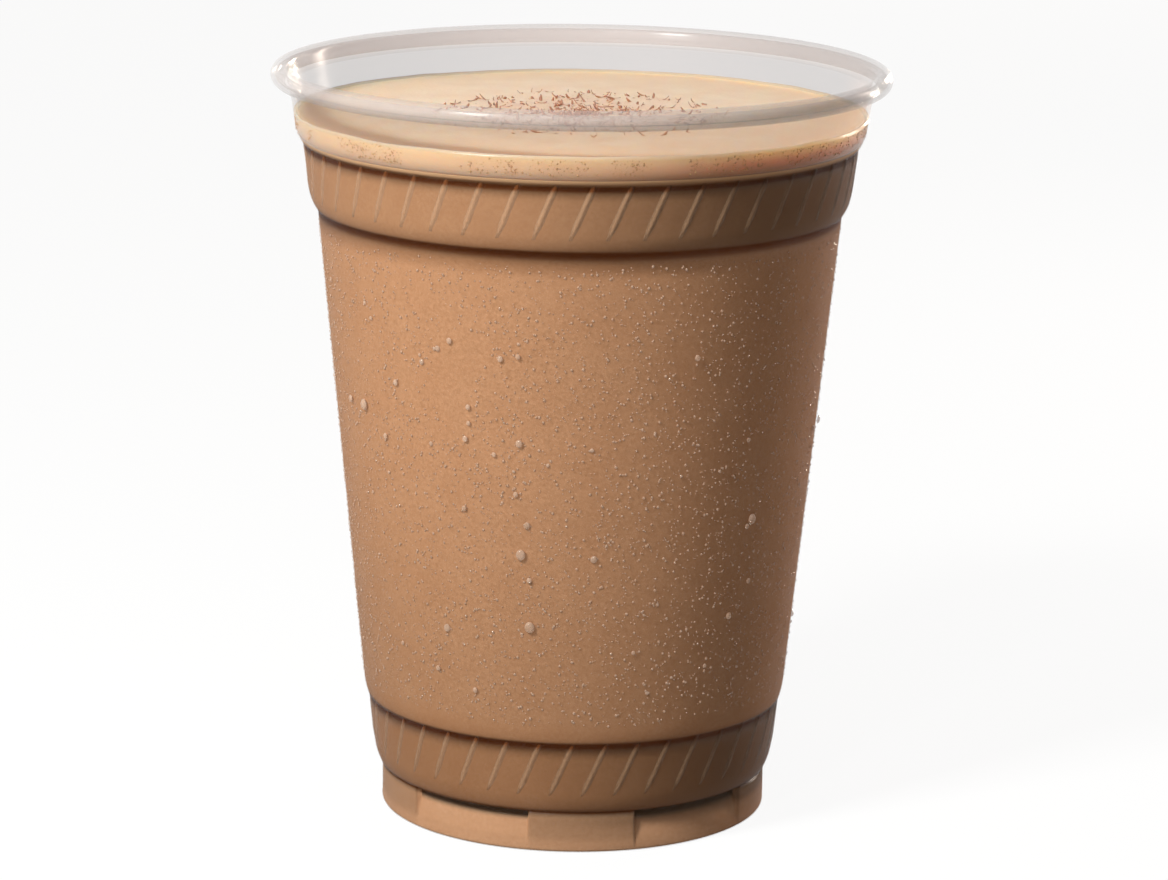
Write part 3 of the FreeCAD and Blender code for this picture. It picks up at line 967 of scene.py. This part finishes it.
def build_rib(name, rise):
    """A slanted ridge that spans a height of rise, closed, with its root behind y = 0."""
    length = rise / math.cos(math.radians(RIB_SLANT))
    across = [-0.5, -0.36, -0.2, -0.07, 0.07, 0.2, 0.36, 0.5]
    stations = [-0.5, -0.5 + 0.5 * RIB_END / length, -0.5 + RIB_END / length, -0.17, 0.17]
    stations += [0.5 - RIB_END / length, 0.5 - 0.5 * RIB_END / length, 0.5]
    slope = math.tan(math.radians(RIB_SLANT))
    top, bottom = [], []
    for step in stations:
        fade = min((0.5 - abs(step)) * length / RIB_END, 1.0)
        for share in across:
            crown = math.cos(math.pi * share) ** 1.3
            z = step * rise
            x = share * RIB_WIDTH * (0.4 + 0.6 * fade) + z * slope
            top.append((x, -RIB_HEIGHT * crown * fade * (2 - fade), z))
            bottom.append((x, RIB_ROOT, z))
    wide, tall, half = len(across), len(stations), len(across) * len(stations)
    faces = []
    for row in range(tall - 1):
        for column in range(wide - 1):
            a = row * wide + column
            faces.append((a, a + 1, a + 1 + wide, a + wide))
            faces.append((half + a, half + a + wide, half + a + 1 + wide, half + a + 1))
    edge = [*range(wide), *range(2 * wide - 1, half, wide)]
    edge += [*range(half - 2, half - wide - 1, -1), *range(half - 2 * wide, 0, -wide)]
    for a, b in zip(edge, edge[1:] + edge[:1]):
        faces.append((b, a, a + half, b + half))
    return add_mesh(name, top + bottom, faces)


# %% A place on the wall, for any angle and height
def stand_on_wall(tree, azimuth, height, radius, draft):
    """Where a thing stands on the wall, and its turn. The thing is built facing -Y."""
    x = times(tree, radius, math_node(tree, "SINE", azimuth))
    y = times(tree, times(tree, radius, math_node(tree, "COSINE", azimuth)), -1.0)
    place = add_node(tree, "ShaderNodeCombineXYZ", {"X": x, "Y": y, "Z": height})
    lean = math_node(tree, "ARCTANGENT", draft)
    return place, add_node(tree, "ShaderNodeCombineXYZ", {"X": lean, "Z": azimuth})


# %% The tree that sets a rib round a band
rib_tree, given, end = new_tree(
    "ribs_round_a_band",
    Rib="Object", Count="Int", First="Float", Radius="Float", Height="Float", Draft="Float",
    Material="Material",
)
number = add_node(rib_tree, "GeometryNodeInputIndex")
step = math_node(rib_tree, "DIVIDE", math.tau, given["Count"])
azimuth = math_node(rib_tree, "MULTIPLY_ADD", number, step, given["First"])
place, turn = stand_on_wall(rib_tree, azimuth, given["Height"], given["Radius"], given["Draft"])
points = add_node(rib_tree, "GeometryNodePoints", {"Count": given["Count"], "Position": place})
form = add_node(rib_tree, "GeometryNodeObjectInfo", {"Object": given["Rib"]}).outputs["Geometry"]
copies = add_node(rib_tree, "GeometryNodeInstanceOnPoints", {
    "Points": points, "Instance": form, "Rotation": turn,
})
finish_tree(rib_tree, end, copies, given["Material"])

# %% Ribs of the two bands
# number of ribs, azimuth of the first in degrees, heights of their lower and upper ends
UPPER_RIBS = {"count": 48, "first": 0.8, "foot": UPPER_BAND_FOOT + 2.1, "top": SHOULDER + 0.9}
LOWER_RIBS = {"count": 40, "first": -2.7, "foot": FOOT_HEIGHT + 2.7, "top": LOWER_BAND_TOP + 0.8}
UPPER_RIBS["radius"] = UPPER_BAND_TOP_RADIUS - BAND_DRAFT * (SHOULDER - UPPER_BAND_FOOT) / 2
LOWER_RIBS["radius"] = LOWER_BAND_TOP_RADIUS - BAND_DRAFT * (LOWER_BAND_TOP - FOOT_HEIGHT) / 2


def rib_band(name, band, inset, material):
    """The ribs of one band, drawn in by inset."""
    middle = (band["foot"] + band["top"]) / 2
    rib = build_rib("rib_form", band["top"] - band["foot"])
    piece = grow(
        name, rib_tree, Rib=rib, Count=band["count"], First=math.radians(band["first"]),
        Radius=(band["radius"] - inset) * MM, Height=middle * MM, Draft=BAND_DRAFT, Material=material,
    )
    put_away(rib)
    return piece


upper_ribs = rib_band("upper_ribs", UPPER_RIBS, 0.0, rib_paint)
lower_ribs = rib_band("lower_ribs", LOWER_RIBS, 0.0, rib_paint)
upper_drink_ribs = rib_band("upper_ribs_filled", UPPER_RIBS, SKIN, smoothie_paint)
lower_drink_ribs = rib_band("lower_ribs_filled", LOWER_RIBS, SKIN, smoothie_paint)

# %% [markdown]
# ## Condensation
#
# The cup is cold, and the wall between the bands is covered with a mist of tiny drops,
# with a few larger ones. Two domes of water are built, a coarse one for the mist and a
# rounder one for drops, and a tree strews them over the wall: angle, height and size are
# random numbers with fixed seeds, and a noise leaves some patches dry. The same tree, with
# the coarse dome and other numbers, strews cocoa specks along the side of the froth. The
# drops that catch the eye on the front are set one by one.

# %% A dome of water
DOME_ROOT = 0.15  # how far its point behind reaches into the wall


def build_dome(name, around, rings, height):
    """A dome of radius 1 mm that faces -Y, closed behind."""
    points = [(0.0, -height, 0.0)]
    for ring in range(1, rings + 1):
        tilt = math.pi / 2 * ring / rings
        radius, rise = math.sin(tilt), height * math.cos(tilt)
        for step in range(around):
            turn = math.tau * step / around
            points.append((radius * math.cos(turn), -rise, radius * math.sin(turn)))
    points.append((0.0, DOME_ROOT, 0.0))
    last, faces = len(points) - 1, []
    for step in range(around):
        after = (step + 1) % around
        faces.append((0, 1 + step, 1 + after))
        for ring in range(rings - 1):
            here = 1 + ring * around
            faces.append((here + step, here + around + step, here + around + after, here + after))
        foot = 1 + (rings - 1) * around
        faces.append((foot + step, last, foot + after))
    return add_mesh(name, points, faces)


# %% The tree that strews things over a wall
strew_tree, given, end = new_tree(
    "strewn_on_a_wall",
    Thing="Object", Count="Int", Seed="Int", Low="Float", High="Float", Radius="Float", Draft="Float",
    Smallest="Float", Largest="Float", Patch="Float", Dry="Float", Material="Material",
)
seeds = [math_node(strew_tree, "ADD", given["Seed"], float(i)) for i in range(4)]
azimuth = random_value(strew_tree, 0.0, math.tau, seeds[0])
height = random_value(strew_tree, given["Low"], given["High"], seeds[1])
climb = math_node(strew_tree, "SUBTRACT", height, given["Low"])
radius = math_node(strew_tree, "MULTIPLY_ADD", climb, given["Draft"], given["Radius"])
place, turn = stand_on_wall(strew_tree, azimuth, height, radius, given["Draft"])
points = add_node(strew_tree, "GeometryNodePoints", {"Count": given["Count"], "Position": place})
save = add_node(strew_tree, "GeometryNodeStoreNamedAttribute", {
    "Geometry": points, "Name": "turn", "Value": turn,
}, data_type="FLOAT_VECTOR", domain="POINT")
patches = add_node(strew_tree, "ShaderNodeTexNoise", {
    "Scale": math_node(strew_tree, "DIVIDE", 1.0, given["Patch"]),
})
dry = add_node(strew_tree, "FunctionNodeCompare", {
    0: patches.outputs["Fac"], 1: given["Dry"],
}, operation="LESS_THAN")
kept = add_node(strew_tree, "GeometryNodeDeleteGeometry", {
    "Geometry": save, "Selection": dry,
}, domain="POINT")
chance = random_value(strew_tree, 0.0, 1.0, seeds[2])
small_first = math_node(strew_tree, "POWER", chance, 3.0)
extra = math_node(strew_tree, "SUBTRACT", given["Largest"], given["Smallest"])
size = math_node(strew_tree, "MULTIPLY_ADD", small_first, extra, given["Smallest"])
taller = times(strew_tree, size, random_value(strew_tree, 0.85, 1.2, seeds[3]))
scale = add_node(strew_tree, "ShaderNodeCombineXYZ", {"X": size, "Y": size, "Z": taller})
form = add_node(strew_tree, "GeometryNodeObjectInfo", {"Object": given["Thing"]}).outputs["Geometry"]
saved_turn = add_node(strew_tree, "GeometryNodeInputNamedAttribute", {
    "Name": "turn",
}, data_type="FLOAT_VECTOR")
copies = add_node(strew_tree, "GeometryNodeInstanceOnPoints", {
    "Points": kept, "Instance": form, "Rotation": saved_turn, "Scale": scale,
})
finish_tree(strew_tree, end, copies, given["Material"])

# %% Mist, drops and specks
MAIN_DRAFT = (MAIN_TOP_RADIUS - LOWER_BAND_TOP_RADIUS - MAIN_STEP) / (UPPER_BAND_FOOT - LOWER_BAND_TOP)


def main_wall_radius(height):
    return MAIN_TOP_RADIUS - MAIN_DRAFT * (UPPER_BAND_FOOT - height)


def strew_on_wall(name, thing, low, high, radius, draft, patch, **rest):
    """Strews a thing between two heights. Lengths in millimetres."""
    return grow(
        name, strew_tree, Thing=thing, Low=low * MM, High=high * MM, Radius=radius * MM, Draft=draft,
        Patch=patch * MM, **rest,
    )


mist_low, mist_high = LOWER_BAND_TOP + 3, UPPER_BAND_FOOT - 2
tiny_dome = build_dome("tiny_dome", 6, 1, 0.55)
mist = strew_on_wall(
    "condensation_mist", tiny_dome, mist_low, mist_high, main_wall_radius(mist_low), MAIN_DRAFT, 22,
    Count=17000, Seed=11, Smallest=0.10, Largest=0.27, Dry=0.36, Material=water_paint,
)
drop_low, drop_high = mist_low + 3, mist_high - 3
round_dome = build_dome("round_dome", 16, 5, 0.65)
drops = strew_on_wall(
    "condensation_drops", round_dome, drop_low, drop_high, main_wall_radius(drop_low), MAIN_DRAFT, 15,
    Count=110, Seed=31, Smallest=0.26, Largest=0.60, Dry=0.45, Material=water_paint,
)
SPECK_RISE = 1.6  # specks start this far above the shoulder
speck_radius = HEAD_FOOT_RADIUS + HEAD_DRAFT * SPECK_RISE - SKIN
specks = strew_on_wall(
    "froth_side_specks", tiny_dome, SHOULDER + SPECK_RISE, FROTH_LEVEL, speck_radius, HEAD_DRAFT, 9,
    Count=2600, Seed=51, Smallest=0.07, Largest=0.20, Dry=0.48, Material=speck_paint,
)

# %% Drops on the front
# angle, height and size of the drops that have run together on the front
FRONT_DROPS = (
    (-29, 84, 0.45), (-17, 82, 0.45), (-13, 82.5, 0.4), (-45, 76, 0.45), (-58, 71, 0.8), (-65, 71, 0.5),
    (-50, 67, 0.45), (-25, 74, 0.4), (-25, 71.5, 0.35), (-26, 69, 0.45), (-13, 69, 0.55), (-19, 67, 0.35),
    (-14, 61, 0.4), (-27, 58, 0.4), (-13, 51.5, 0.75), (-11, 47.5, 0.4), (-11, 40, 0.8), (-37, 31.5, 0.4),
    (-26, 29, 0.4), (27, 82, 0.45), (47, 55, 0.75), (45.5, 54, 0.4), (48, 45, 0.4), (42, 40, 0.5),
    (15, 36, 0.3), (84, 66, 0.6),
)

DROP_TALLER = 1.15  # how much taller than wide a drop is


def set_drop(form, azimuth, height, size):
    """Points of a drop that stands on the wall, a little taller than wide."""
    turn = Matrix.Rotation(math.radians(azimuth), 4, "Z") @ Matrix.Rotation(math.atan(MAIN_DRAFT), 4, "X")
    turn = Matrix.Translation(turn.col[1].xyz * -main_wall_radius(height) + Vector((0, 0, height))) @ turn
    sizes = Matrix.Diagonal((size, size, size * DROP_TALLER, 1.0))
    return [tuple(turn @ sizes @ (v.co / MM)) for v in form.data.vertices]


faces_of_one = [tuple(p.vertices) for p in round_dome.data.polygons]
drop_points, drop_faces = [], []
for spot in FRONT_DROPS:
    drop_faces += [tuple(i + len(drop_points) for i in face) for face in faces_of_one]
    drop_points += set_drop(round_dome, *spot)
front_drops = add_mesh("front_drops", drop_points, drop_faces)
front_drops.data.materials.append(water_paint)
put_away(tiny_dome, round_dome)

# %% [markdown]
# ## Chocolate flakes
#
# A pinch of grated chocolate lies in the middle of the froth. A flake is a thin curled
# sliver, so four of them are built, each with its own length, curl and twist, with a
# crumb besides. A second tree drops them on the froth: it picks random places that
# gather in the middle, finds the surface below with a ray, and lays a random flake
# there, turned and tilted.

# %% Four flakes and a crumb
FLAKE_LIFT = 0.09  # half the thickness of a flake in its middle line


def build_flake(name, length, width, curl, twist):
    """A curled sliver, thick in the middle and sharp at its edges, about its centre."""
    steps, points, faces = 6, [], []
    for step in range(steps + 1):
        share = step / steps - 0.5
        bend, roll = curl * share, twist * share
        x = length * (math.sin(bend) / curl)
        z = length * (1 - math.cos(bend)) / curl
        half = 0.5 * width * (1 - 2.2 * share * share)
        for side, lift in ((-half, 0.0), (0.0, FLAKE_LIFT), (half, 0.0), (0.0, -FLAKE_LIFT)):
            points.append((x, side * math.cos(roll) - lift * math.sin(roll),
                           z + side * math.sin(roll) + lift * math.cos(roll)))
    for step in range(steps):
        for side in range(4):
            a, b = step * 4 + side, step * 4 + (side + 1) % 4
            faces.append((a, a + 4, b + 4, b))
    faces += [(0, 1, 2, 3), (steps * 4 + 3, steps * 4 + 2, steps * 4 + 1, steps * 4)]
    return add_mesh(name, points, faces)


FLAKES = (
    ("flake_a", 2.6, 0.6, 1.4, 1.0), ("flake_b", 1.8, 0.45, -0.9, -1.6), ("flake_c", 1.2, 0.7, 2.2, 0.6),
    ("flake_d", 3.2, 0.4, 0.7, 2.4), ("crumb", 0.6, 0.5, 0.5, 0.3),
)
flake_forms = bpy.data.collections.new("flake_forms")
for form_name, *shape in FLAKES:
    flake = build_flake(form_name, *shape)
    bpy.context.scene.collection.objects.unlink(flake)
    flake_forms.objects.link(flake)

# %% The tree that drops things on the froth
drop_tree, given, end = new_tree(
    "dropped_on_froth",
    Froth="Object", Forms="Collection", Kinds="Int", Count="Int", Seed="Int", Inner="Float", Outer="Float",
    Gather="Float", Above="Float", Tilt="Float", Smallest="Float", Largest="Float", Material="Material",
)
seeds = [math_node(drop_tree, "ADD", given["Seed"], float(i)) for i in range(7)]
far = math_node(drop_tree, "POWER", random_value(drop_tree, 0.0, 1.0, seeds[0]), given["Gather"])
ring = math_node(drop_tree, "SUBTRACT", given["Outer"], given["Inner"])
radius = math_node(drop_tree, "MULTIPLY_ADD", far, ring, given["Inner"])
azimuth = random_value(drop_tree, 0.0, math.tau, seeds[1])
above, _ = stand_on_wall(drop_tree, azimuth, given["Above"], radius, 0.0)
points = add_node(drop_tree, "GeometryNodePoints", {"Count": given["Count"], "Position": above})
froth_form = add_node(drop_tree, "GeometryNodeObjectInfo", {"Object": given["Froth"]}).outputs["Geometry"]
ray = add_node(drop_tree, "GeometryNodeRaycast", {
    "Target Geometry": froth_form, "Ray Direction": (0.0, 0.0, -1.0), "Ray Length": 1.0,
})
landed = add_node(drop_tree, "GeometryNodeSetPosition", {
    "Geometry": points, "Position": ray.outputs["Hit Position"],
})
lean = times(drop_tree, given["Tilt"], -1.0)
turn = add_node(drop_tree, "ShaderNodeCombineXYZ", {
    "X": random_value(drop_tree, lean, given["Tilt"], seeds[2]),
    "Y": random_value(drop_tree, lean, given["Tilt"], seeds[3]),
    "Z": random_value(drop_tree, 0.0, math.tau, seeds[4]),
})
forms = add_node(drop_tree, "GeometryNodeCollectionInfo", {
    "Collection": given["Forms"], "Separate Children": True, "Reset Children": True,
})
which = math_node(drop_tree, "FLOOR", random_value(drop_tree, 0.0, given["Kinds"], seeds[5]))
size = random_value(drop_tree, given["Smallest"], given["Largest"], seeds[6])
copies = add_node(drop_tree, "GeometryNodeInstanceOnPoints", {
    "Points": landed, "Instance": forms, "Pick Instance": True, "Instance Index": which, "Rotation": turn,
    "Scale": size,
})
finish_tree(drop_tree, end, copies, given["Material"])

# %% Flakes on the froth
ABOVE = (CUP_HEIGHT + 10) * MM
TILT = 0.75  # radians that a flake may lean
flakes = grow(
    "chocolate_flakes", drop_tree, Froth=froth, Forms=flake_forms, Kinds=len(FLAKES), Count=680, Seed=7,
    Inner=0.0, Outer=23 * MM, Gather=0.95, Above=ABOVE, Tilt=TILT, Smallest=0.36, Largest=0.95,
    Material=flake_paint,
)
# with one kind only the first form by name is picked, which is the crumb
crumbs = grow(
    "cocoa_crumbs", drop_tree, Froth=froth, Forms=flake_forms, Kinds=1, Count=2200, Seed=27,
    Inner=0.0, Outer=22 * MM, Gather=0.7, Above=ABOVE, Tilt=TILT, Smallest=0.10, Largest=0.24,
    Material=speck_paint,
)
put_away(*flake_forms.objects)
bpy.data.collections.remove(flake_forms)

# %% [markdown]
# ## Everything in place
#
# Each piece rides on the one body of the model. The cup wall, the smoothie and the froth
# stand for the CAD nodes of the same name, which stay hidden for collision. The rolled
# rim belongs to the cup's mesh, so its faces are picked out by height for their own paint.

# %% Materials and bodies
dress(cup, plastic_paint, ["cup"])
dress(smoothie, smoothie_paint, ["smoothie"])
dress(froth, froth_paint, ["froth"])
cup.data.materials.append(rim_paint)
for face in cup.data.polygons:
    if face.center.z > BEAD_LOW * MM:
        face.material_index = 1
for ribs in (upper_ribs, lower_ribs):
    dress(ribs)
for ribs in (upper_drink_ribs, lower_drink_ribs):
    dress(ribs)
for piece in (mist, drops, front_drops, specks, flakes, crumbs):
    dress(piece)
